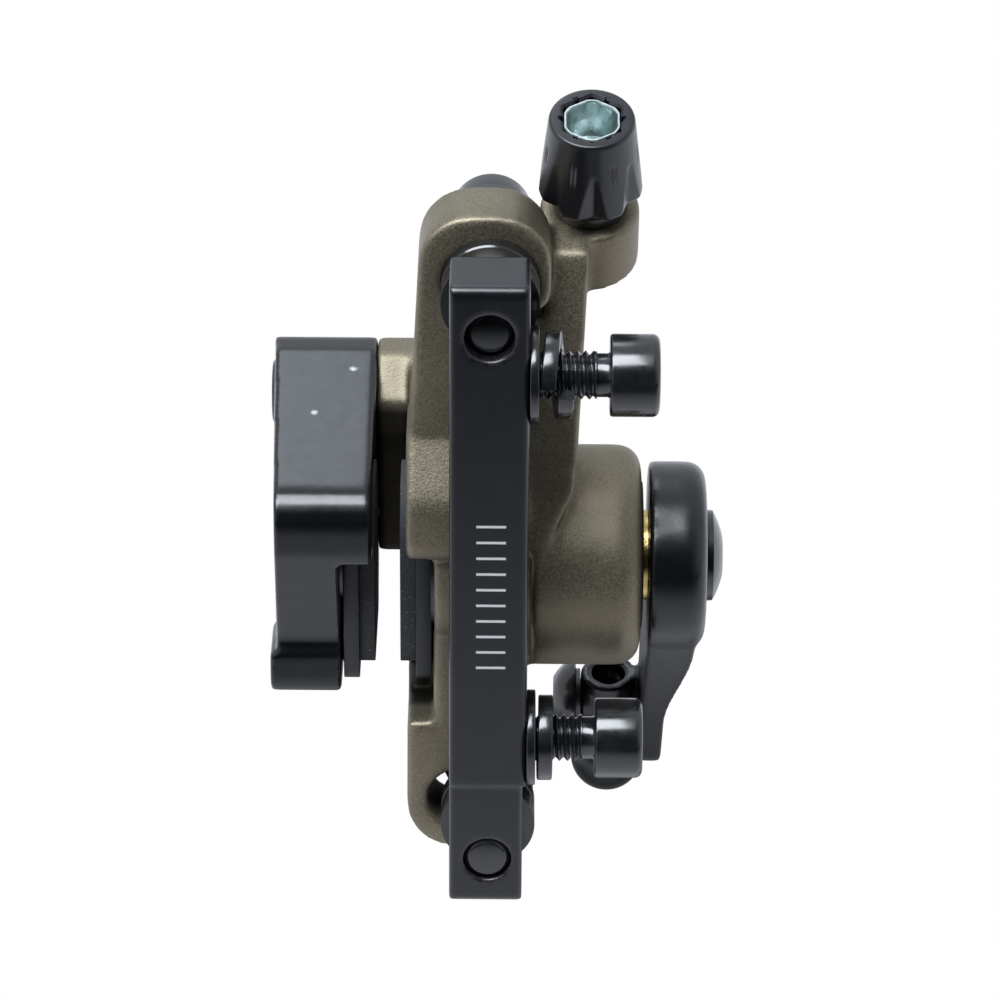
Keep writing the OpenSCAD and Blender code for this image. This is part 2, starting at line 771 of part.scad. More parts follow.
module spine() {
    along_y(ear_front, ear_back) ear_outlines();
    along_y(ear_front, ear_front + spine_t) intersection() {
        ear_outlines();
        translate([-far / 2, post_down + ear_low_end]) square([far, post_up - post_down - 2 * ear_low_end]);
    }
}
module drum() {
    lathe_x(concat([[0, drum_x], [drum_r, drum_x]],
        [for (i = [0:corner_steps]) let (a = 90 * i / corner_steps)
            [drum_r - drum_edge + drum_edge * cos(a), drum_end - drum_edge + drum_edge * sin(a)]],
        [[0, drum_end]]));
}
module web_side() {
    polygon([[web_front_y, web_front_z], [web_touch_y, web_touch_z], [0, 0],
        [web_front_y + web_t - web_front_z * tan(web_angle), 0],
        [web_front_y + web_t, web_front_z + web_t * tan(boss_tilt)]]);
}
module web() {
    intersection() {
        along_x(0, boss_x) web_side();
        along_y(-far, far) polygon(rounded([[0, web_clear, 0], [0, web_step, 0],
            [web_left, web_step, 0], [web_left, far, 0], [boss_x, far, 0],
            [web_top_x, web_front_z, 0], [web_low_x, web_turn, web_turn_r], [drum_x, web_low, 0],
            [drum_x, web_clear, 0]]));
    }
    intersection() {
        along_x(0, far) web_side();
        lathe_x(concat([[0, web_low_x - 1], [drum_r + web_flare, web_low_x - 1]],
            [for (i = [0:corner_steps]) let (a = 90 * i / corner_steps)
                [drum_r + web_flare - web_flare * sin(a),
                 web_low_x + web_flare - web_flare * cos(a)]],
            [[0, web_low_x + web_flare]]));
        block(0, far, -far, far, drum_r / 2, far);
    }
}
module bridge() {
    lip_low = crown - bridge_drop - bridge_lip;
    along_x(slot_in, slot_out + 1) difference() {
        polygon(rounded([[back, crown, back_r], [back - crown_flat - 1, crown - eps, 0],
            [bridge_in - 1, crown - bridge_drop, 0], [bridge_in - 1, lip_low, 0],
            [bridge_in + lip_in, lip_low, 0], [bridge_in + lip_in, -back_low, 0],
            [back, -back_low, back_r]]));
        translate([rotor_y, 0]) circle(bridge_r, $fn = 200);
    }
}
// Backing plate outline grown by grow.
module pad_outline(front, rear, up, down, grow) {
    polygon(rounded([[-front - grow, up + grow, pad_corner + grow],
        [-front - grow, -down - grow, pad_edge], [rear + grow, -down - grow, pad_edge],
        [rear + grow, up + grow, pad_corner + grow]]));
}
module plate_outline(grow) {
    pad_outline(lining_front + plate_rim, lining_back + plate_rim, lining_up + plate_rim,
        lining_down + plate_rim + plate_tail, grow);
}
module ear_slot(x, z) {
    r = ear_slot_w / 2;
    run = ear_slot_l / 2 - r;
    translate([x, 0, z]) {
        for (dx = [-run, run]) translate([dx, 0, 0]) rod_y(-far, far, r);
        block(-run, run, -far, far, -r, r);
    }
}
module body_cuts() {
    along_x(slot_out - 1, pocket_out) plate_outline(pad_play);
    block(slot_out - 1, pocket_out, -far, channel_back, channel_floor - shell_low, nose_low);
    rod_x(slot_out, ledge_x, bore_r);
    rod_x(0, wall_x, chamber_r);
    rod_x(0, far, bush_r + run_play / 2);
    ear_slot(slot_up_x, post_up);
    ear_slot(slot_low_x, post_down);
    for (z = [housing_up, -housing_down]) translate([0, housing_back, z])
        rod_x(slot_in - 1, slot_out + housing_grip + 1, housing_d / 2);
}
module caliper_body() {
    color("#7d7a6c") difference() {
        at_axis() difference() {
            union() {
                shell();
                spine();
                drum();
                web();
                bridge();
                translate(boss_top) rotate([boss_tilt, 0, 0])
                    translate([0, 0, -boss_h]) cylinder(h = boss_h, r = boss_r);
            }
            body_cuts();
        }
        at_boss() translate([0, 0, -far / 8]) cylinder(h = far / 4, r = cable_r);
        at_boss() translate([0, 0, -boss_h - 1]) cylinder(h = boss_h + 2, r = barrel_r + thread_fit);
    }
}

// Wheel-side half.
module inner_housing() {
    color("#1d1e21") at_axis() difference() {
        union() {
            intersection() {
                along_x(inner_x - inner_t, slot_in)
                    polygon(rounded([[-nose, nose_top, brow_r], [-nose, chin, 0],
                        [-heel, foot_slope - foot_top, heel_r], [-foot, -foot_top - eps, 0],
                        [-foot - foot_tip, -foot_low, nose_r], [tail, -tail_low, back_r],
                        [back, -back_low, back_r], [back, crown, back_r],
                        [back - crown_flat, crown - eps, 0]]));
                translate([inner_x, 0, 0]) rotate([0, 0, inner_lean])
                    block(0, far, -far, far, -far, far);
            }
            along_x(inner_x - foot_flare, inner_x - foot_flare + foot_w)
                polygon(rounded([[-foot, -foot_top, 0], [-foot - foot_tip, -foot_low, nose_r],
                    [notch_back, -foot_low + eps, 0], [notch_back, -foot_top, 0]]));
        }
        along_x(pocket_in, slot_in + 1) plate_outline(pad_play);
        block(pocket_in, slot_in + 1, -far, notch_back, -far, notch_top);
        rod_x(-far, slot_in, adjuster_r + run_play);
        for (z = [housing_up, -housing_down]) translate([0, housing_back, z]) {
            rod_x(-far, slot_in + 1, housing_d / 2 + washer_play);
            rod_x(-far, housing_seat, housing_head_d / 2 + washer_play);
        }
    }
}
module housing_bolts() {
    head = housing_seat - housing_head_h;
    r = housing_d / 2 - thread_fit;
    color("#2e3034") at_housing_bolts() difference() {
        lathe_x([[0, head], [housing_head_d / 2 - head_edge, head],
            [housing_head_d / 2, head + head_edge], [housing_head_d / 2, housing_seat],
            [r, housing_seat], [r, slot_out + housing_grip], [0, slot_out + housing_grip]]);
        hex_x(head - 1, head + housing_head_h / 2, housing_d / 2 / cos(30));
    }
}

// Drive inside the drum.
module spindle_bush() {
    color("#c8a24a") at_axis() difference() {
        union() {
            rod_x(wall_x, drum_end + eps, bush_r);
            rod_x(drum_end, drum_end + collar_t, collar_r);
        }
        rod_x(0, far, spindle_r + run_play);
    }
}
module dust_seal() {
    color("#18191b") at_axis()
        tube_x(drum_end, drum_end + seal_t, collar_r + run_play, seal_r);
}
module thrust_washer() {
    color("#b08d57") at_axis()
        tube_x(thrust_x, thrust_x + thrust_t, spindle_r + washer_play, bore_r - run_play);
}
// One tube round x: curl by curl, its ring of points lies round the wire's middle.
module return_spring() {
    rings = spring_rings * spring_turns;
    m = spring_sides;
    points = [for (i = [0:rings])
        let (a = 360 * i / spring_rings, h = spring_x + spring_pitch * i / spring_rings)
        each [for (k = [0:m - 1])
            let (r = spring_r + spring_wire * cos(360 * k / m))
            [h + spring_wire * sin(360 * k / m), r * cos(a), r * sin(a)]]];
    sides = [for (i = [0:rings - 1]) each [for (k = [0:m - 1])
        [m * i + k, m * i + (k + 1) % m, m * (i + 1) + (k + 1) % m, m * (i + 1) + k]]];
    ends = [[for (k = [0:m - 1]) m - 1 - k], [for (k = [0:m - 1]) m * rings + k]];
    color("#a8aaac") at_axis() polyhedron(points, concat(sides, ends));
}
module ball_groove() {
    translate([ball_x, 0, 0]) rotate([0, 90, 0]) rotate_extrude()
        translate([ball_at, 0]) circle(ball_r + run_play);
}
module spindle() {
    color("#9a9c9e") at_axis() difference() {
        union() {
            rod_x(flange_x, flange_end, piston_r);
            rod_x(flange_end - eps, lever_x, spindle_r);
            hex_x(lever_x - eps, hub_end - hub_edge, spindle_r);
        }
        ball_groove();
        rod_x(hub_end - cap_l - 1, far, cap_hole_r);
    }
}
module piston() {
    color("#b4b6b8") at_axis() difference() {
        rod_x(piston_x, piston_end, piston_r);
        rod_x(piston_x - 1, piston_x + magnet_t, magnet_r + run_play);
        ball_groove();
    }
}
module piston_magnet() {
    color("#8c8e90") at_axis() rod_x(piston_x, piston_x + magnet_t, magnet_r);
}
module ball_cage() {
    color("#3c3a36") difference() {
        at_axis() tube_x(ball_x - cage_t / 2, ball_x + cage_t / 2, cage_in_r, cage_r);
        at_balls() rod_x(-cage_t, cage_t, ball_r + run_play);
    }
}
module ramp_balls() {
    color("#c4c6c8") at_balls() sphere(ball_r);
}

// Pads and the inner pad's adjuster.
module outer_pad_plate() {
    color("#55585a") at_axis() along_x(outer_plate, piston_x) plate_outline(0);
}
module outer_pad_lining() {
    color("#4a443c") at_axis() along_x(outer_face, outer_plate)
        pad_outline(lining_front, lining_back, lining_up, lining_down, 0);
}
module inner_pad_plate() {
    color("#55585a") at_axis() along_x(foot_x, inner_plate) plate_outline(0);
}
module inner_pad_lining() {
    color("#4a443c") at_axis() along_x(inner_plate, inner_face)
        pad_outline(lining_front, lining_back, lining_up, lining_down, 0);
}
module pad_foot() {
    color("#b4b6b8") at_axis() difference() {
        rod_x(adjuster_x, foot_x, foot_disc_r);
        rod_x(foot_x - magnet_t, foot_x + 1, magnet_r + run_play);
    }
}
module foot_magnet() {
    color("#8c8e90") at_axis() rod_x(foot_x - magnet_t, foot_x, magnet_r);
}
module pad_adjuster() {
    end = inner_x + adjuster_in;
    color("#26282b") at_axis() difference() {
        rod_x(end, adjuster_x, adjuster_r);
        hex_x(end - 1, end + adjuster_deep, adjuster_af / 2 / cos(30));
    }
}

// Lever.
module arm_outline() {
    root = hub_r - arm_set;
    lean = asin((root - arm_end_r) / arm_l);
    translate([0, -arm_l]) circle(arm_end_r);
    polygon([[-root * cos(lean), -root * sin(lean)], [root * cos(lean), -root * sin(lean)],
        [arm_end_r * cos(lean), -arm_l - arm_end_r * sin(lean)],
        [-arm_end_r * cos(lean), -arm_l - arm_end_r * sin(lean)]]);
}
module arm_thickness() {
    blend = [for (i = [0:curve_steps])
        let (k = i / curve_steps)
        [lever_x + arm_t + (hub_t - arm_in - arm_t) * (1 + cos(180 * k)) / 2,
         -thin_from - (thin_to - thin_from) * k]];
    polygon(concat([[lever_x, far], [hub_end - arm_in, far]], blend,
        [[lever_x + arm_t, -far], [lever_x, -far]]));
}
module hub() {
    lathe_x(concat([[0, lever_x], [hub_r, lever_x]],
        [for (i = [0:corner_steps]) let (a = 90 * i / corner_steps)
            [hub_r - hub_edge + hub_edge * cos(a), hub_end - hub_edge + hub_edge * sin(a)]],
        [[0, hub_end]]));
}
module lever_arm() {
    arm_side = lever_x + arm_t / 2 - lug_x;
    color("#1f2023") difference() {
        union() {
            at_axis() hub();
            at_arm() intersection() {
                along_x(0, far) arm_outline();
                along_y(-far, far) arm_thickness();
            }
            at_lug() translate([0, 0, -lug_l]) cylinder(h = lug_l, r = lug_r);
            at_lug() translate([0, 0, -pinch_drop]) rod_x(-lug_r, arm_side, lug_r + eps);
            at_lug() translate([0, 0, -bulb_drop]) sphere(bulb_r);
            at_lug() block(0, arm_side, -lug_web_t / 2, lug_web_t / 2,
                lug_web_t / 2 - bulb_drop, -lug_bore_l);
        }
        at_axis() hex_x(lever_x - 1, hub_end + 1, spindle_r + run_play);
        at_lug() translate([0, 0, -far]) cylinder(h = 2 * far, r = cable_r);
        at_lug() translate([0, 0, -lug_bore_l]) cylinder(h = lug_bore_l + 1, r = lug_bore_r);
        at_lug() translate([0, 0, -pinch_drop]) rod_x(-far / 8, cable_r - lug_bore_r, pinch_r + thread_fit);
    }
}
// A domed head of radius r and height h that starts at x and points along x.
module dome_x(x, r, h) {
    ball = (r * r + h * h) / (2 * h);
    rise = asin(r / ball);
    lathe_x(concat([[0, x]],
        [for (i = [0:curve_steps - 1]) let (a = rise * (1 - i / curve_steps))
            [ball * sin(a), x + h - ball + ball * cos(a)]],
        [[0, x + h]]));
}
module lever_bolt() {
    color("#2b2c30") at_axis() difference() {
        union() {
            dome_x(hub_end, cap_r, cap_h);
            rod_x(hub_end - cap_l, hub_end + eps, cap_thread_r);
        }
        hex_x(hub_end + cap_h / 2, far, socket_af / 2 / cos(30));
    }
}
module pinch_bolt() {
    face = -lug_r - pinch_washer_t;
    color("#2b2c30") at_lug() translate([0, 0, -pinch_drop]) difference() {
        union() {
            mirror([1, 0, 0]) dome_x(-face, pinch_head_r, pinch_head_h);
            rod_x(face - eps, -lug_r + pinch_grip, pinch_r);
        }
        hex_x(-far, face - pinch_head_h / 2, socket_af / 2 / cos(30));
    }
}
module pinch_washer() {
    color("#8c8e90") at_lug() translate([0, 0, -pinch_drop])
        tube_x(-lug_r - pinch_washer_t, -lug_r, pinch_r + run_play, lug_r);
}

// Cable adjuster on the boss.
module adjuster_knob() {
    top = knob_gap + knob_l;
    color("#303238") at_boss() difference() {
        rotate_extrude() polygon([[0, knob_gap], [knob_foot_r, knob_gap],
            [knob_r - head_edge, barrel_step - head_edge], [knob_r, barrel_step],
            [knob_top_r, top - head_edge / 2], [knob_top_r - head_edge / 2, top], [0, top]]);
        for (i = [0:knob_flutes - 1]) rotate([0, 0, i * 360 / knob_flutes])
            translate([0, -flute_at, -1]) cylinder(h = flute_l, r = flute_r);
        translate([0, 0, barrel_step]) cylinder(h = knob_l, r = knob_hex_r, $fn = 6);
        cylinder(h = knob_l, r = barrel_r + washer_play);
    }
}
module adjuster_barrel() {
    color("#c6cdc6") at_boss() difference() {
        union() {
            translate([0, 0, barrel_step]) cylinder(h = barrel_top - barrel_step, r = barrel_hex_r, $fn = 6);
            translate([0, 0, -barrel_grip]) cylinder(h = barrel_grip + barrel_step + eps, r = barrel_r);
        }
        translate([0, 0, barrel_top - seat_bore_l]) cylinder(h = seat_bore_l + 1, r = seat_bore_r);
        translate([0, 0, -far / 8]) cylinder(h = far / 4, r = cable_r);
    }
}

adapter_bracket();
frame_bolts();
frame_washers();
frame_lock_washers();
post_bolts();
cup_washers();
ball_washers();
caliper_body();
inner_housing();
housing_bolts();
spindle_bush();
dust_seal();
thrust_washer();
return_spring();
lever_arm();
lever_bolt();
spindle();
pinch_bolt();
pinch_washer();
piston();
piston_magnet();
outer_pad_plate();
outer_pad_lining();
ball_cage();
ramp_balls();
pad_foot();
foot_magnet();
inner_pad_plate();
inner_pad_lining();
pad_adjuster();
adjuster_knob();
adjuster_barrel();
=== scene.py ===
import json
import math

import bpy
import numpy as np
from mathutils import Matrix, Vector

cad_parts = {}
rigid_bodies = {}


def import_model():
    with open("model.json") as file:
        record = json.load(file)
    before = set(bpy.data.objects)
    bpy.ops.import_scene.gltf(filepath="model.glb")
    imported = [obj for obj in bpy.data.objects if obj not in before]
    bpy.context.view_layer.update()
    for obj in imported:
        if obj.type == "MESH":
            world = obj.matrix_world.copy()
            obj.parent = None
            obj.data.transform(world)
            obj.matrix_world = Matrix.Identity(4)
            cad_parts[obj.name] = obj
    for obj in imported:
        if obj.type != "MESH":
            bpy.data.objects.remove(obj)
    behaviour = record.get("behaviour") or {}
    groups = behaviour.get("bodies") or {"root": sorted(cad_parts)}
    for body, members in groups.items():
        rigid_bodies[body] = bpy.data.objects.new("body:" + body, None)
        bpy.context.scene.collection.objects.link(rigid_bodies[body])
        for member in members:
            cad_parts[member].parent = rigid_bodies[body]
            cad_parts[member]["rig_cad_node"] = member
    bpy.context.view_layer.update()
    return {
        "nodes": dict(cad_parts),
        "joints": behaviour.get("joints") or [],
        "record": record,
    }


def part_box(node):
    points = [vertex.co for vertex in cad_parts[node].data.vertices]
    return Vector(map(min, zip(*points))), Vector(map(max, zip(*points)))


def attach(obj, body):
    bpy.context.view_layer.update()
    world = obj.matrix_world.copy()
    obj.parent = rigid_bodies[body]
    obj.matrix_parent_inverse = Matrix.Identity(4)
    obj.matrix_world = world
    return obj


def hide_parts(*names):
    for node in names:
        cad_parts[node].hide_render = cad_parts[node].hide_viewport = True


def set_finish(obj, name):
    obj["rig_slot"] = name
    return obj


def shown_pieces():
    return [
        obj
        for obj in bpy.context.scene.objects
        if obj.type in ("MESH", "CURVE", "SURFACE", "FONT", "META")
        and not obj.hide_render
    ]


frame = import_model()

NODES = frame["nodes"]
JOINTS = {joint["name"]: joint for joint in frame["joints"]}
MOUNTS = {mount["name"]: mount for mount in frame["record"]["mounts"]}
MM = 0.001
TAU = 2 * math.pi


def node_box(node):
    """Lowest and highest corner of a CAD node, in millimetres."""
    return np.array(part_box(node)) / MM


def axis_point(joint):
    """The point that a hinge turns about, in millimetres."""
    return np.array(JOINTS[joint]["pos_m"]) / MM


# Sizes that several pieces share, in millimetres. SEAM keeps two rings of points apart.
HEAD_R = 5.0
HEAD_H = 6.0
KNOB_TOP = 14.7
KNOB_FLOOR = 2.3
SEAM = 0.02

# Places in the row frame, in millimetres, from the CAD nodes, joints and mounts.
BAR_LOW, BAR_HIGH = node_box("adapter_bracket")
BAR_X = (BAR_LOW[0] + BAR_HIGH[0]) / 2
BAR_FACE = BAR_HIGH[0]
BAR_FRONT = BAR_LOW[1]
FRAME_Z = MOUNTS["frame_bolts"]["dims"]["spacing_y_mm"] / 2
FRAME_OUT = node_box("frame_bolts")[1, 0] - HEAD_H - BAR_FACE
POST_LOW, POST_HIGH = node_box("post_bolts")
POST_Z = (POST_HIGH[2] - HEAD_R, POST_LOW[2] + HEAD_R)
AXIS = axis_point("lever_pivot")
DRUM_END = node_box("caliper_body")[1, 0]
HUB_END = node_box("lever_arm")[1, 0]
PINCH_SEAT = (node_box("pinch_washer")[0, 0], *node_box("pinch_bolt").mean(0)[1:])
BOSS = axis_point("knob_turn")
BOSS_TILT = math.atan2(-JOINTS["knob_turn"]["axis"][1], JOINTS["knob_turn"]["axis"][2])

# Angles of the points in a ring: for bolts and washers, and for the knob and its barrel.
THETA = np.linspace(0, TAU, 64, endpoint=False)[None, :]
FINE = np.linspace(0, TAU, 280, endpoint=False)[None, :]


def add_object(name, data):
    """A new object of the scene, at the origin."""
    obj = bpy.data.objects.new(name, data)
    bpy.context.scene.collection.objects.link(obj)
    return obj


def place_piece(name, mesh, body, slot, replaced, sharp=None):
    """Put a mesh in the scene as a smooth piece of a body; edges steeper than sharp degrees stay sharp."""
    mesh.polygons.foreach_set("use_smooth", np.ones(len(mesh.polygons), bool))
    if sharp is not None:
        mesh.set_sharp_from_angle(angle=math.radians(sharp))
    obj = add_object(name, mesh)
    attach(obj, body)
    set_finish(obj, slot)
    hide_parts(*replaced)
    return obj


def make_piece(name, shape, body, slot, replaced, sharp=40):
    """A piece from points in millimetres and faces; a negative enclosed volume turns its faces round."""
    verts, faces = shape
    mesh = bpy.data.meshes.new(name)
    polys = [face for block in faces for face in block.tolist()]
    mesh.from_pydata((verts * MM).tolist(), [], polys)
    mesh.validate()
    mesh.calc_loop_triangles()
    tri = np.empty(len(mesh.loop_triangles) * 3, np.int64)
    mesh.loop_triangles.foreach_get("vertices", tri)
    a, b, c = (verts[tri.reshape(-1, 3)[:, k]] for k in range(3))
    if np.einsum("ij,ij->", a, np.cross(b, c)) < 0:
        mesh.flip_normals()
    return place_piece(name, mesh, body, slot, replaced, sharp)


def store(mesh, name, values):
    """Keep one number per point of a mesh under a name that its material reads."""
    attribute = mesh.attributes.new(name, "FLOAT", "POINT")
    attribute.data.foreach_set("value", values.astype(np.float32))


def quads(n, m, wrap_rows=False):
    """Faces of an n by m grid of points whose columns close on themselves, and its rows too if asked."""
    i = np.arange(n if wrap_rows else n - 1)[:, None]
    j = np.arange(m)[None, :]
    below, beside = (i + 1) % n, (j + 1) % m
    return np.stack([i * m + j, i * m + beside, below * m + beside, below * m + j], -1).reshape(-1, 4)


def capped(rows):
    """Points and faces of stacked rings whose first and last ring each close on one middle point."""
    n, m = rows.shape[:2]
    verts = np.concatenate([rows.reshape(-1, 3), rows[:1].mean(1), rows[-1:].mean(1)])
    j = np.arange(m)
    beside = (j + 1) % m
    low = np.stack([np.full(m, n * m), beside, j], -1)
    high = np.stack([np.full(m, n * m + 1), (n - 1) * m + j, (n - 1) * m + beside], -1)
    return verts, [quads(n, m), low, high]


def looped(rows):
    """Points and faces of stacked rings whose last ring joins the first."""
    return rows.reshape(-1, 3), [quads(*rows.shape[:2], True)]


def arc(cx, cy, r, a0, a1, n=6):
    """n points on a circle from angle a0 to a1 in degrees."""
    a = np.radians(np.linspace(a0, a1, n))
    return np.stack([cx + r * np.cos(a), cy + r * np.sin(a)], -1)


def soft_box(r0, r1, h0, h1, edge=0.2, n=4):
    """Closed outline of a rectangle of radii r0 to r1 and heights h0 to h1 with round corners."""
    return np.concatenate([
        arc(r1 - edge, h0 + edge, edge, -90, 0, n), arc(r1 - edge, h1 - edge, edge, 0, 90, n),
        arc(r0 + edge, h1 - edge, edge, 90, 180, n), arc(r0 + edge, h0 + edge, edge, 180, 270, n)])


def hexagon(theta, across):
    """Radius of a hexagon of that size across flats at angle theta, with a flat towards theta 0."""
    return across / 2 / np.cos((theta + TAU / 12) % (TAU / 6) - TAU / 12)


def along_x(r, h, theta, origin):
    """Rings round the x direction: radius r and place h per row, shifted to origin."""
    x, y, z = origin
    return np.stack(np.broadcast_arrays(x + h, y + r * np.cos(theta), z + r * np.sin(theta)), -1)


def along_y(r, h, theta, origin):
    """Rings round the y direction."""
    x, y, z = origin
    return np.stack(np.broadcast_arrays(x + r * np.cos(theta), y + h, z + r * np.sin(theta)), -1)


def on_boss(r, h, theta):
    """Rings round the boss's axis, which leans from z towards -y."""
    u, v = r * np.cos(theta), r * np.sin(theta)
    x, y, z = BOSS
    c, s = math.cos(BOSS_TILT), math.sin(BOSS_TILT)
    return np.stack(np.broadcast_arrays(x + u, y + v * c - h * s, z + v * s + h * c), -1)


def stacked(rows, theta):
    """Radius and height grids from rows of (radius, height), where either may vary with theta."""
    r = [np.broadcast_to(row[0], theta.shape) for row in rows]
    h = [np.broadcast_to(row[1], theta.shape) for row in rows]
    return np.concatenate(r), np.concatenate(h)


def head_bolt_rings(start, free, under, plain):
    """Radius and height grids of an M6 socket head bolt, from its first rows to the middle of its socket.

    The thread's radius falls by a clipped triangle wave of the height less one pitch per turn. It begins at
    height free and fades out at a plain neck under the head.
    """
    pitch, crest, core, per_turn = 1.0, 2.94, 2.5, 12
    flank, flat, fade_l = 1.3, 0.12, 0.5
    neck, fillet, foot, edge = 2.65, 0.25, 0.35, 0.9
    socket, land, depth = 5.0, 0.75, 3.0
    neck_low, top = under - plain, under + HEAD_H
    h = np.arange(free, neck_low - SEAM, pitch / per_turn)[:, None]
    wave = np.abs(2 * ((h / pitch - THETA / TAU) % 1) - 1)
    fade = np.clip((neck_low - h) / fade_l, 0, 1)
    thread = crest - (crest - core) * fade * np.clip(flank * wave - flat, 0, 1)
    head = np.concatenate([
        [[neck, neck_low], [neck, under - fillet], [neck + 0.15, under]],
        arc(HEAD_R - foot, under + foot, foot, -90, 0, 4),
        arc(HEAD_R - edge, top - edge, edge, 0, 90, 8),
        [[socket / 2 + land, top]]])
    wall = hexagon(THETA, socket)
    hole = [(wall + 0.2, top - 0.05), (wall, top - 0.3), (wall, top - depth + 0.1), (wall * 0.9, top - depth)]
    return stacked(start + list(zip(thread, h)) + [tuple(p) for p in head] + hole, THETA)


def dome_bolt_rings(r, h, rim, shank_r, shank_l):
    """Radius and height grids of a domed socket bolt, from its shank's end: a rim, then part of a sphere."""
    socket, land, depth, chamfer = 4.0, 0.55, 1.4, 0.3
    rise = h - rim
    ball = (r * r + rise * rise) / (2 * rise)
    a = np.linspace(math.asin((r - 0.05) / ball), math.asin((socket / 2 + land) / ball), 16)
    dome = list(zip(ball * np.sin(a), h - ball + ball * np.cos(a)))
    shank = [(shank_r - chamfer, -shank_l), (shank_r, 0.4 - shank_l), (shank_r, SEAM)]
    under = [(r - 0.25, SEAM), (r, 0.2)]
    wall = hexagon(THETA, socket)
    hole = [(wall + 0.05, dome[-1][1] - 0.15), (wall, h - depth + 0.1), (wall * 0.9, h - depth)]
    return stacked(shank + under + dome + hole, THETA)


def build_frame_hardware():
    """Frame bolts, flat washers, and split lock washers, each of those a soft rectangle along a helix."""
    bore_r, washer_r, washer_t = 3.2, 6.0, 1.1
    lock_r, lock_t, lock_edge, lock_low, split = 5.35, 1.9, 0.25, 1.2, 14
    length, free, plain, core, deeper = 16, 0.1, 1.5, 2.5, 1.1
    ring = soft_box(bore_r, washer_r, 0.0, washer_t)
    section = soft_box(bore_r, lock_r, 0.0, lock_t, lock_edge)
    k = np.linspace(0, 1, 97)[:, None]
    for side, z, out, lift, split_at in (
            ("upper", FRAME_Z, FRAME_OUT, 2.2, 180), ("lower", -FRAME_Z, FRAME_OUT - deeper, 0.3, 360)):
        origin = (BAR_FACE, 0, z)
        tip = out - length
        start = [(core - 0.3, tip), (core, tip + 0.35), (core, free - SEAM)]
        r, h = head_bolt_rings(start, free, out, plain)
        make_piece(f"frame_bolt_{side}", capped(along_x(r, h, THETA, origin)),
                   "caliper", "black_steel", ["frame_bolts"])
        make_piece(f"frame_washer_{side}", looped(along_x(ring[:, :1], ring[:, 1:], THETA, origin)),
                   "caliper", "black_steel", ["frame_washers"])
        turn = np.radians(split_at - split / 2 - k * (360 - split))
        rows = along_x(section[None, :, 0], lock_low + section[None, :, 1] + lift * k, turn, origin)
        make_piece(f"frame_lock_washer_{side}", capped(rows),
                   "caliper", "black_steel", ["frame_lock_washers"], 35)


def build_post_bolts():
    """Post bolts: plain shanks with tips in the bar's front holes and heads behind the ears."""
    shank_r, thread_l, plain = 2.92, 8.0, 1.5
    under = POST_HIGH[1] - HEAD_H - POST_LOW[1]
    free = under - thread_l
    shank = [(2.15, 0.0), (2.35, 0.08), (shank_r, 0.7), (shank_r, free - 0.2)]
    r, h = head_bolt_rings(shank, free, under, plain)
    for side, z in zip(("upper", "lower"), POST_Z):
        make_piece(f"post_bolt_{side}", capped(along_y(r, h, THETA, (BAR_X, POST_LOW[1], z))),
                   "caliper", "black_steel", ["post_bolts"])


def build_knob():
    """Knob on the boss: a cone on a narrow foot, with a hexagonal hole that has a key way at each flat.

    The cone's radius dips in seven flutes that narrow upwards, with a soft peak across each. Pairs of fine
    grooves lie on the ridges between, a bell curve across each.
    """
    gap, bore_r, foot_r, foot_edge, foot_h = 0.1, 2.85, 4.6, 0.2, 1.7
    skirt, skirt_r, skirt_edge, top_r, top_edge = 3.4, 6.4, 0.65, 5.25, 0.4
    flutes, phase, flute_low, flute_l, flute_half, flute_deep = 7, 0.445, 2.6, 7.6, 0.36, 0.95
    flute_taper, flute_peak, flute_fade, flute_rise = 0.75, 1.3, 0.75, 1.5
    pair, groove_w, groove_mid, groove_l, groove_deep = 0.05, 0.016, 9.9, 1.4, 0.14
    hole_size, key_half, key_deep, mouth = 7.05, 0.09, 0.34, 0.3

    side_h = np.linspace(skirt + 0.3, KNOB_TOP - 0.5, 64)
    side_r = skirt_r + (top_r - skirt_r) * (side_h - skirt) / (KNOB_TOP - skirt)
    profile = np.concatenate([
        [[bore_r, gap], [foot_r - foot_edge, gap]],
        arc(foot_r - foot_edge, gap + foot_edge, foot_edge, -60, 0, 3), [[foot_r, foot_h]],
        arc(skirt_r - skirt_edge, skirt + 0.1, skirt_edge, -60, 0, 6), np.stack([side_r, side_h], -1),
        arc(top_r - top_edge, KNOB_TOP - top_edge, top_edge, 10, 90, 7)])
    r, h = (np.repeat(profile[:, k:k + 1], FINE.size, 1) for k in (0, 1))

    across = (FINE * flutes / TAU + flutes / 4 + phase) % 1 - 0.5
    up = np.clip((h - flute_low) / flute_l, 0, 1)
    half = flute_half * (1 - flute_taper * up)
    flute = np.clip(1 - np.abs(across / half) ** flute_peak, 0, 1) * (1 - up) ** flute_fade
    flute = flute * np.clip((h - foot_h) / flute_rise, 0, 1)
    beside = np.abs(np.abs((across + 1) % 1 - 0.5) - pair)
    groove = np.exp(-(beside / groove_w) ** 2) * np.exp(-((h - groove_mid) / groove_l) ** 4)
    r = r - flute_deep * flute - groove_deep * groove

    key = key_deep * (np.abs((FINE * 6 / TAU + 0.5) % 1 - 0.5) < key_half)
    wall = hexagon(FINE, hole_size) + key
    hole_r, hole_h = stacked([
        (wall + mouth, KNOB_TOP), (wall, KNOB_TOP - mouth),
        (wall, KNOB_FLOOR + 0.1), (bore_r, KNOB_FLOOR)], FINE)
    rows = on_boss(np.concatenate([r, hole_r]), np.concatenate([h, hole_h]), FINE)
    knob = make_piece("adjuster_knob_moulded", looped(rows), "knob", "black_plastic", ["adjuster_knob"], 30)
    store(knob.data, "mark", np.concatenate([groove.ravel(), np.zeros(hole_r.size)]))


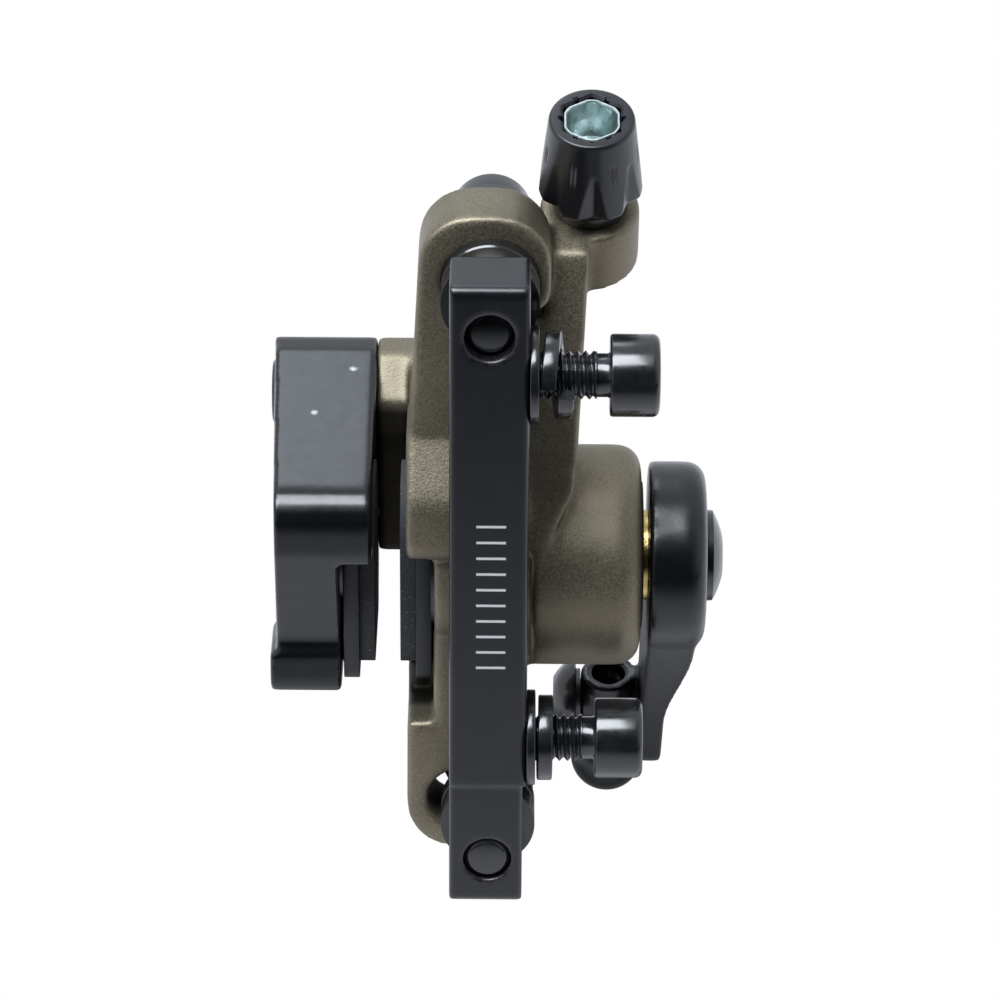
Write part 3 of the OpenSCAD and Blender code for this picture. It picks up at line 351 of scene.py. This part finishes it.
def build_barrel():
    """Adjuster barrel in the knob: a hexagon with clipped corners on a round stem, with a stepped bore."""
    size, corner_r, bore_r, stem_r, stem_low, seat_r = 6.9, 3.66, 1.1, 2.58, -5.5, 2.62
    rim = KNOB_TOP - 0.3
    wall = np.minimum(hexagon(FINE, size), corner_r)
    r, h = stacked([
        (bore_r, stem_low), (stem_r - 0.3, stem_low), (stem_r, stem_low + 0.4), (stem_r, KNOB_FLOOR),
        (wall, KNOB_FLOOR + SEAM), (wall, rim - 0.2), (wall - 0.12, rim), (wall - 0.3, rim),
        (wall - 0.42, rim - 0.15), (0.5 * wall + 1.35, rim - 1.0), (seat_r + 0.04, rim - 2.2),
        (seat_r, rim - 2.6), (seat_r, rim - 5.2), (1.7, rim - 6.2), (bore_r, rim - 6.9)], FINE)
    make_piece("adjuster_barrel_hex", looped(on_boss(r, h, FINE)), "barrel", "zinc", ["adjuster_barrel"], 25)


def build_domes():
    """Lever bolt on the hub, and pinch bolt on the lug, which points the other way."""
    r, h = dome_bolt_rings(r=5.8, h=2.47, rim=0.9, shank_r=2.18, shank_l=8.8)
    make_piece("lever_bolt_dome", capped(along_x(r, h, THETA, (HUB_END, AXIS[1], AXIS[2]))),
               "lever", "black_steel", ["lever_bolt"])
    r, h = dome_bolt_rings(r=5.2, h=3.6, rim=0.25, shank_r=2.38, shank_l=3.0)
    make_piece("pinch_bolt_dome", capped(along_x(r, -h, THETA, PINCH_SEAT)),
               "lever", "black_steel", ["pinch_bolt"])


def build_seal():
    """Dust seal: a thin ring against the drum, a soft rectangle turned round the spindle."""
    bore_r, seal_r, seal_t, edge = 5.85, 9.3, 0.2, 0.05
    ring = soft_box(bore_r, seal_r, SEAM, seal_t, edge)
    rows = along_x(ring[:, :1], ring[:, 1:], THETA, (DRUM_END, AXIS[1], AXIS[2]))
    make_piece("dust_seal_ring", looped(rows), "caliper", "seal_rubber", ["dust_seal"])


def evaluated_copy(node, name, modifiers):
    """A new mesh from a CAD node's copy: doubled points merged, then (kind, settings) modifiers applied."""
    mesh = NODES[node].data.copy()
    obj = add_object(name, mesh)
    for kind, settings in [("WELD", {"merge_threshold": 1e-6})] + modifiers:
        modifier = obj.modifiers.new(kind.lower(), kind)
        for key, value in settings.items():
            setattr(modifier, key, value)
    done = bpy.data.meshes.new_from_object(obj.evaluated_get(bpy.context.evaluated_depsgraph_get()))
    bpy.data.objects.remove(obj)
    bpy.data.meshes.remove(mesh)
    done.name = name
    return done


def edge_bulge(mesh, voxel, rounds=3):
    """How far each point stands out from its neighbours' mean, averaged over a few rounds of neighbours."""
    n = len(mesh.vertices)
    co, normal = np.empty(n * 3), np.empty(n * 3)
    mesh.vertices.foreach_get("co", co)
    mesh.vertices.foreach_get("normal", normal)
    ends = np.empty(len(mesh.edges) * 2, np.int64)
    mesh.edges.foreach_get("vertices", ends)
    co, normal = co.reshape(-1, 3), normal.reshape(-1, 3)
    one, other = ends.reshape(-1, 2).T
    degree = np.bincount(ends, minlength=n)

    def mean(values):
        return (np.bincount(one, values[other], n) + np.bincount(other, values[one], n)) / degree

    centre = np.stack([mean(co[:, k]) for k in range(3)], -1)
    bulge = np.einsum("ij,ij->i", co - centre, normal) / (voxel * MM)
    for _ in range(rounds):
        bulge = 0.5 * (bulge + mean(bulge))
    return bulge


def cast_copy(node, body, slot, voxel, steps):
    """A CAD node's copy in even small faces, laid back on the node, then smoothed, which rounds its edges."""
    mesh = evaluated_copy(node, node + "_cast", [
        ("REMESH", {"mode": "VOXEL", "voxel_size": voxel * MM}), ("SHRINKWRAP", {"target": NODES[node]}),
        ("SMOOTH", {"factor": 0.5, "iterations": steps})])
    store(mesh, "bulge", edge_bulge(mesh, voxel))
    place_piece(node + "_cast", mesh, body, slot, [node])


def soft_copy(node, body, slot, width=0.25):
    """A pressed or moulded piece: a CAD node's copy with its sharp edges rounded."""
    mesh = evaluated_copy(node, node + "_soft", [("BEVEL", {
        "width": width * MM, "segments": 3, "limit_method": "ANGLE", "angle_limit": math.radians(35)})])
    place_piece(node + "_soft", mesh, body, slot, [node], 30)


class Sock:
    """A shader node's output; arithmetic with numbers or other outputs adds Math nodes."""

    def __init__(self, tree, out):
        self.tree = tree
        self.out = out

    def node(self, kind, settings=None, out=0, **inputs):
        """Add a node: settings are its properties, inputs its sockets' values or links, by name or _index."""
        made = self.tree.nodes.new(kind)
        for key, value in (settings or {}).items():
            setattr(made, key, value)
        for key, value in inputs.items():
            feed(self.tree, made.inputs[int(key[1:])] if key[0] == "_" else made.inputs[key], value)
        return Sock(self.tree, made.outputs[out])

    def math(self, operation, a, b=0.0):
        return self.node("ShaderNodeMath", {"operation": operation}, _0=a, _1=b)

    def __add__(self, other):
        return self.math("ADD", self, other)

    def __sub__(self, other):
        return self.math("SUBTRACT", self, other)

    def __rsub__(self, other):
        return self.math("SUBTRACT", other, self)

    def __mul__(self, other):
        return self.math("MULTIPLY", self, other)

    def __pow__(self, other):
        return self.math("POWER", self, other)

    __radd__ = __add__
    __rmul__ = __mul__

    def clip(self):
        return self.math("MINIMUM", self.math("MAXIMUM", self, 0.0), 1.0)

    def within(self, centre, half, soft):
        """1 where this value is within half of centre, falling to 0 over soft."""
        return ((half - self.math("ABSOLUTE", self - centre)) * (1 / soft) + 0.5).clip()

    def noise(self, scale, detail=2.0):
        return self.node("ShaderNodeTexNoise", Vector=self, Scale=scale, Detail=detail)

    def cloud(self, scale):
        """Soft patches from 0 to 1 with more contrast than plain noise."""
        return (self.noise(scale) * 1.2 - 0.1).clip()

    def axes(self):
        """The x, y and z of a vector."""
        split = self.node("ShaderNodeSeparateXYZ", Vector=self).out.node
        return tuple(Sock(self.tree, out) for out in split.outputs)

    def distance(self, point):
        return self.node("ShaderNodeVectorMath", {"operation": "DISTANCE"}, out="Value", _0=self, _1=point)

    def attribute(self, name):
        return self.node("ShaderNodeAttribute", {"attribute_name": name}, out="Fac")

    def mix(self, low, high):
        """Colour between low and high by this value."""
        return self.node("ShaderNodeMix", {"data_type": "RGBA"}, out=2, _0=self, _6=low, _7=high)

    def bump(self, strength, depth):
        return self.node("ShaderNodeBump", Strength=strength, Distance=depth, Height=self)


def feed(tree, socket, value):
    """Link an output to a socket, or set the socket's own value."""
    if isinstance(value, Sock):
        tree.links.new(value.out, socket)
    else:
        socket.default_value = (*value, 1.0) if socket.type == "RGBA" else value


def source(tree, kind, out):
    """An output of a new node that needs no inputs."""
    return Sock(tree, tree.nodes.new(kind).outputs[out])


def material(name, build):
    """A material whose build function gets the object coordinates and returns its Principled inputs."""
    made = bpy.data.materials.new(name)
    made.use_nodes = True
    tree = made.node_tree
    for key, value in build(source(tree, "ShaderNodeTexCoord", "Object")).items():
        feed(tree, tree.nodes["Principled BSDF"].inputs[key], value)
    return made


def bronze_paint(p):
    """Metallic paint: fine flakes, soft clouds, pale worn edges, and painted shade in the hollows and inside
    the rotor slot.
    """
    deep, pale = (0.106, 0.090, 0.061), (0.264, 0.236, 0.175)
    # The second colour here is the near black of the painted shade in the hollows and in the rotor slot.
    bare, painted_shade_colour = (0.42, 0.39, 0.32), (0.014, 0.013, 0.012)
    slot_side, slot_front, slot_low, slot_top = -0.0168, 0.0150, -0.0330, 0.0040
    flake = p.noise(4200.0, 1.0)
    cloud = p.noise(150.0, 3.0)
    bulge = p.attribute("bulge")
    paint = ((flake - 0.5) * 1.2 + (cloud - 0.5) * 0.5 + 0.5).clip().mix(deep, pale)
    worn = ((bulge + (cloud - 0.5) * 0.05 - 0.05) * 8.0).clip() * 0.4
    # Painted shade: where the surface dips below its neighbours, it darkens towards near black.
    hollow_shade = ((-0.02 - bulge) * 12.0).clip() * 0.5
    x, y, z = p.axes()
    # Painted shade: inside the rotor slot the casting is mixed 80% towards near black, standing in for the
    # shadow there.
    slot = ((slot_side - x) * 1500.0).clip() * ((y - slot_front) * 700.0).clip()
    slot = slot * ((slot_top - z) * 900.0).clip() * ((z - slot_low) * 900.0).clip() * 0.8
    shade = 1.0 - (1.0 - hollow_shade) * (1.0 - slot)
    return {"Base Color": shade.mix(worn.mix(paint, bare), painted_shade_colour), "Metallic": 0.9,
            "Roughness": 0.52 + (flake - 0.5) * 0.3,
            "Normal": (flake + 0.6 * p.noise(1900.0)).bump(0.6, 0.00005)}


def black_coat(rough, base, peel):
    """Black paint or moulding: faint clouds, an uneven skin, and pale lines where a piece has marks."""
    def build(p):
        skin = p.noise(900.0)
        plain = p.cloud(240.0).mix(tuple(0.7 * b for b in base), tuple(1.3 * b for b in base))
        return {"Base Color": (p.attribute("mark") * 0.25).mix(plain, (0.5, 0.5, 0.52)),
                "Roughness": rough + (skin - 0.5) * 0.12, "Normal": skin.bump(peel, 0.00004)}
    return build


def satin_black(p):
    """The bar's coat: a fine peel, worn rings round the post holes, and a column of plain ticks in front."""
    deep, pale = (0.002, 0.0025, 0.0035), (0.005, 0.006, 0.008)
    bare, tick_paint = (0.050, 0.040, 0.034), (0.55, 0.55, 0.56)
    tick_pitch, tick_half, tick_x = 0.0022, 0.0018, BAR_X * MM + 0.0003
    column_mid, column_half, front = -0.0036, 0.0110, BAR_FRONT * MM + 0.0006
    crisp, ring_r = 0.0001, 0.0033
    skin = p.noise(1300.0)
    x, y, z = p.axes()
    step = z.math("FRACT", z * (1 / tick_pitch) + 100.25)
    ticks = step.within(0.5, 0.075, 0.05) * x.within(tick_x, tick_half, crisp)
    ticks = ticks * z.within(column_mid, column_half, crisp) * ((front - y) * 5000.0).clip()
    patchy = ((p.noise(1500.0, 3.0) - 0.42) * 5.0).clip()
    rings = 0.0
    for hole in POST_Z:
        away = ((x - BAR_X * MM) ** 2.0 + (z - hole * MM) ** 2.0) ** 0.5
        rings = rings + away.within(ring_r, 0.0001, 0.0012) * patchy
    coat = (rings * 0.5).mix(p.cloud(200.0).mix(deep, pale), bare)
    return {"Base Color": ticks.mix(coat, tick_paint),
            "Roughness": 0.30 + (skin - 0.5) * 0.12 + rings * 0.15,
            "Normal": (skin - ticks * 2.0).bump(0.16, 0.00004)}


def gloss_black(p):
    """Gloss paint, smoother on the black half than on the lever: a peel, worn edges and two small chips."""
    deep, pale, bare = (0.0015, 0.0018, 0.0025), (0.004, 0.0045, 0.006), (0.5, 0.5, 0.5)
    half_side, chip_r = -0.0220, 0.0006
    skin = p.noise(700.0)
    half = ((half_side - p.axes()[0]) * 800.0).clip()
    worn = ((p.attribute("bulge") - 0.16) * 6.0).clip() * 0.06
    ragged = (p.noise(2500.0) - 0.5) * 1.2
    chips = 0.0
    for centre in ((-0.0289, 0.0344, 0.0086), (-0.0336, 0.0259, 0.0067)):
        chips = chips + (1.0 - p.distance(centre) * (1 / chip_r) + ragged).clip()
    return {"Base Color": (worn + chips * 0.8).clip().mix(p.cloud(200.0).mix(deep, pale), bare),
            "Roughness": 0.28 - half * 0.06 + (skin - 0.5) * 0.08,
            "Normal": (skin + 12.0 * p.noise(260.0, 3.0) - chips * 3.0).bump(0.10, 0.00004)}


def black_oxide(p):
    """Blackened steel: dark with faint blotches and a sharp shine."""
    tone = p.noise(700.0, 3.0)
    return {"Base Color": tone.mix((0.002, 0.0025, 0.003), (0.012, 0.013, 0.015)), "Specular IOR Level": 0.7,
            "Roughness": 0.19 + (tone - 0.5) * 0.2, "Normal": p.noise(1800.0).bump(0.08, 0.00003)}


def bare_metal(low, high, rough):
    """Bare or plated metal: a fine grain in tone and roughness."""
    def build(p):
        grain = p.noise(1400.0, 3.0)
        return {"Base Color": grain.mix(low, high), "Metallic": 1.0, "Roughness": rough + (grain - 0.5) * 0.2}
    return build


def friction_lining(p):
    """Friction compound: dark grains with a few paler specks."""
    grain = p.noise(2600.0)
    speck = ((p.noise(3200.0, 0.0) - 0.70) * 10).clip()
    dark = grain.mix((0.006, 0.007, 0.008), (0.040, 0.042, 0.047))
    return {"Base Color": (speck * 0.4).mix(dark, (0.16, 0.16, 0.17)), "Roughness": 0.8,
            "Normal": (grain + speck).bump(0.5, 0.00012)}


# The finish of each of the record's slots.
FINISHES = {
    "bronze_paint": bronze_paint,
    "gloss_black": gloss_black,
    "satin_black": satin_black,
    "black_steel": black_oxide,
    "black_plastic": black_coat(0.33, (0.005, 0.0055, 0.008), 0.06),
    "zinc": bare_metal((0.46, 0.55, 0.55), (0.66, 0.74, 0.73), 0.30),
    # Steel is set far darker than bare steel: painted shade, so the gaps beside the pads stay dark.
    "steel": bare_metal((0.05, 0.05, 0.052), (0.09, 0.09, 0.094), 0.38),
    "brass": bare_metal((0.62, 0.44, 0.14), (0.80, 0.62, 0.26), 0.26),
    "seal_rubber": black_coat(0.6, (0.006, 0.006, 0.007), 0.1),
    "pad_steel": black_coat(0.45, (0.009, 0.010, 0.012), 0.3),
    "lining": friction_lining,
}


def paint_pieces():
    """Give every shown piece the finish of its slot; a CAD node's slot is in the record."""
    made = {name: material(name, build) for name, build in FINISHES.items()}
    slot_of = {part["node"]: part["material_slot"] for part in frame["record"]["subparts"]}
    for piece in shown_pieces():
        piece.data.materials.clear()
        piece.data.materials.append(made[piece.get("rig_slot") or slot_of[piece["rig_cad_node"]]])


def stand(obj, x, y, z, place):
    """Set an object's axes and place."""
    m = np.eye(4)
    m[:3, 0], m[:3, 1], m[:3, 2], m[:3, 3] = x, y, z, place
    obj.matrix_world = Matrix(m.tolist())


def build_camera():
    """The photo's view: place, angles and lens were fitted to the bar's and bolts' known sizes."""
    place = np.array([-9.014, -490.035, 275.23]) * MM
    pitch, yaw, roll = math.radians(28.5754), math.radians(-0.1002), math.radians(0.3671)
    ahead = np.array([math.sin(yaw) * math.cos(pitch), math.cos(yaw) * math.cos(pitch), -math.sin(pitch)])
    right = np.array([math.cos(yaw), -math.sin(yaw), 0])
    up = np.cross(right, ahead)
    data = bpy.data.cameras.new("camera")
    data.sensor_width = 36
    data.lens = 164.856
    data.clip_start, data.clip_end = 0.01, 20
    camera = add_object("camera", data)
    c, s = math.cos(roll), math.sin(roll)
    stand(camera, c * right + s * up, c * up - s * right, -ahead, place)
    bpy.context.scene.camera = camera


def area_light(name, place, size, power, colour):
    """A rectangular light at place that shines on the origin."""
    data = bpy.data.lights.new(name, "AREA")
    data.shape = "RECTANGLE"
    data.size, data.size_y = size
    data.energy = power
    data.color = colour
    z = np.array(place) / np.linalg.norm(place)
    x = np.cross((0, 1, 0), z)
    x /= np.linalg.norm(x)
    stand(add_object(name, data), x, np.cross(z, x), z, place)


def build_world():
    """White for the camera; for all else a pale room that is dark on the camera's side."""
    room_tint, white = (0.94, 0.98, 1.05), (1.0, 1.0, 1.0)
    level, to_back, to_side, bright, dim = 0.85, 1.1, 0.5, 0.85, 0.02
    world = bpy.data.worlds.new("studio")
    bpy.context.scene.world = world
    world.use_nodes = True
    tree = world.node_tree
    side, behind, _ = source(tree, "ShaderNodeTexCoord", "Generated").axes()
    seen = source(tree, "ShaderNodeLightPath", "Is Camera Ray")
    room = (level + to_back * behind + to_side * side.math("ABSOLUTE", side)).clip() * bright + dim
    backdrop = tree.nodes["Background"].inputs
    feed(tree, backdrop["Color"], seen.mix(room_tint, white))
    feed(tree, backdrop["Strength"], room + seen * (1.0 - room))


def build_floor():
    """A pale floor, plain white for the camera.

    For all else its glow fades towards the camera, as a bell curve over reach, and is dimmed in an area behind
    the part: a painted shadow of the part.
    """
    size, low, reach = 3.0, -0.075, 0.17
    glow_tint, white = (0.94, 0.97, 1.06), (1.0, 1.0, 1.0)
    mesh = bpy.data.meshes.new("floor")
    corners = [(-size, -size, low), (size, -size, low), (size, size, low), (-size, size, low)]
    mesh.from_pydata(corners, [], [(0, 1, 2, 3)])
    made = bpy.data.materials.new("floor")
    made.use_nodes = True
    tree = made.node_tree
    seen = source(tree, "ShaderNodeLightPath", "Is Camera Ray")
    x, y, _ = source(tree, "ShaderNodeTexCoord", "Object").axes()
    nearer = y.math("MAXIMUM", y * (-1 / reach), 0.0)
    # Painted shadow: the glow is dimmed by 80% in an area behind the part, where its shadow would fall.
    painted_shadow = y.within(0.08, 0.06, 0.03) * x.within(0.0, 0.05, 0.04)
    glow = 1.15 * nearer.math("EXPONENT", -1.0 * (nearer * nearer)) * (1.0 - 0.8 * painted_shadow)
    shine = glow + seen * (1.0 - glow)
    light = seen.node("ShaderNodeEmission", Color=seen.mix(glow_tint, white), Strength=shine)
    feed(tree, tree.nodes["Material Output"].inputs["Surface"], light)
    mesh.materials.append(made)
    add_object("floor", mesh)


build_frame_hardware()
build_post_bolts()
build_knob()
build_barrel()
build_domes()
build_seal()
cast_copy("caliper_body", "caliper", "bronze_paint", voxel=0.38, steps=23)
cast_copy("adapter_bracket", "caliper", "satin_black", voxel=0.3, steps=10)
cast_copy("inner_housing", "caliper", "gloss_black", voxel=0.28, steps=22)
cast_copy("lever_arm", "lever", "gloss_black", voxel=0.28, steps=36)
for pad, carrier in (("outer_pad", "piston"), ("inner_pad", "inner_pad")):
    soft_copy(pad + "_plate", carrier, "pad_steel")
    soft_copy(pad + "_lining", carrier, "lining")
paint_pieces()

build_camera()
build_world()
build_floor()
area_light("key", place=(-0.24, -0.26, 0.685), size=(0.58, 0.40), power=11.2, colour=(0.89, 0.94, 1.0))
area_light("back", place=(-0.12, 0.44, 0.63), size=(0.20, 0.28), power=0.6, colour=(0.82, 0.91, 1.0))
bpy.context.scene.view_settings.view_transform = "Standard"
